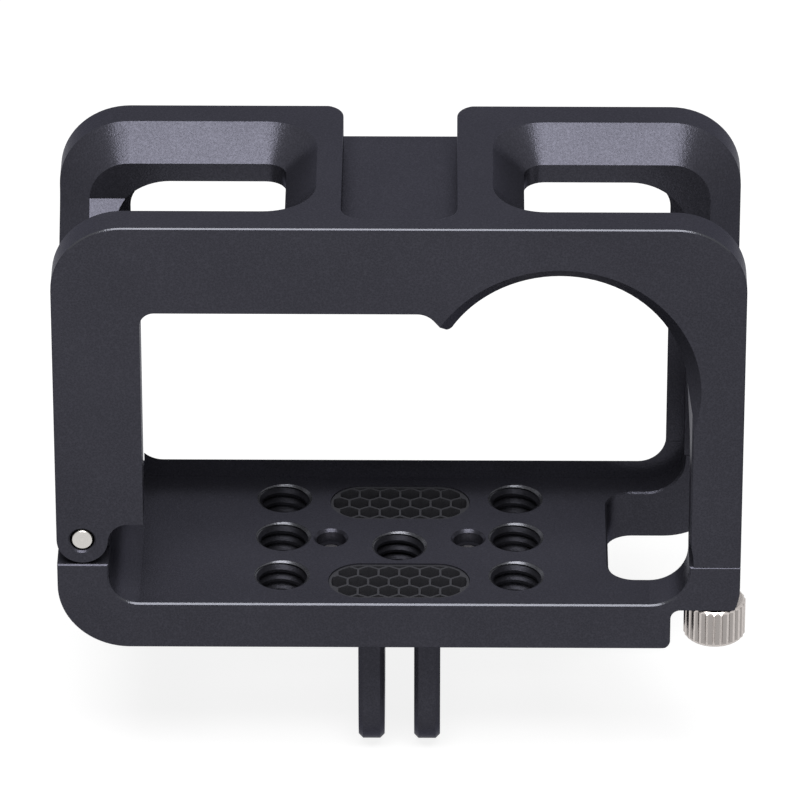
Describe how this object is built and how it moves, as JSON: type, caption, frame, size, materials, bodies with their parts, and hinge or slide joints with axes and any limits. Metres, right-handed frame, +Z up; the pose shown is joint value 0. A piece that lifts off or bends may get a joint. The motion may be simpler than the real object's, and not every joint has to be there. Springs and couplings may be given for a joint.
{
  "type": "action camera cage",
  "caption": "Hinged metal cage for an action camera, with a round lens opening, windows over the top corners, a knurled closing screw and a pronged mount below.",
  "frame": {"origin": "centre of the bore through the two prongs of the mount under the cage", "axes": "+X along the bore axis to the right as seen from the front, +Y from the front face to the back, +Z up"},
  "size_m": [0.0775, 0.029, 0.074],
  "materials": {
    "frame_anodised": "bead blasted, black anodised, satin",
    "base_anodised": "bead blasted, black anodised, satin",
    "bracket_anodised": "bead blasted, black anodised, satin",
    "grille_metal": "black anodised, matt",
    "pin_steel": "turned, bright",
    "knob_nickel": "nickel plated, straight knurl",
    "ring_steel": "spring steel, bright",
    "screw_steel": "bright"
  },
  "bodies": {
    "base": {"base_plate": "base_anodised", "hinge_pin": "pin_steel", "two_prong_bracket": "bracket_anodised", "bracket_screws": "screw_steel", "front_grille": "grille_metal", "rear_grille": "grille_metal"},
    "frame": {"upper_frame": "frame_anodised"},
    "ring": {"screw_retaining_ring": "ring_steel"},
    "screw": {"thumbscrew": "knob_nickel"}
  },
  "joints": [
    {"name": "frame_hinge", "type": "hinge", "parent": "base", "child": "frame", "pos_m": [-0.03547, 0, 0.02645], "axis": [0, -1, 0], "range_deg": [0, 90]},
    {"name": "screw_travel", "type": "slide", "parent": "base", "child": "ring", "axis": [0, 0, -1], "range_m": [0, 0.0031]},
    {"name": "screw_turn", "type": "hinge", "parent": "ring", "child": "screw", "pos_m": [0.03565, -0.01125, 0.0144], "axis": [0, 0, -1], "range_deg": [0, 2481]}
  ],
  "couplings": [
    {"joint": "screw_turn", "follows": "screw_travel", "rad_per_m": 13963}
  ]
}
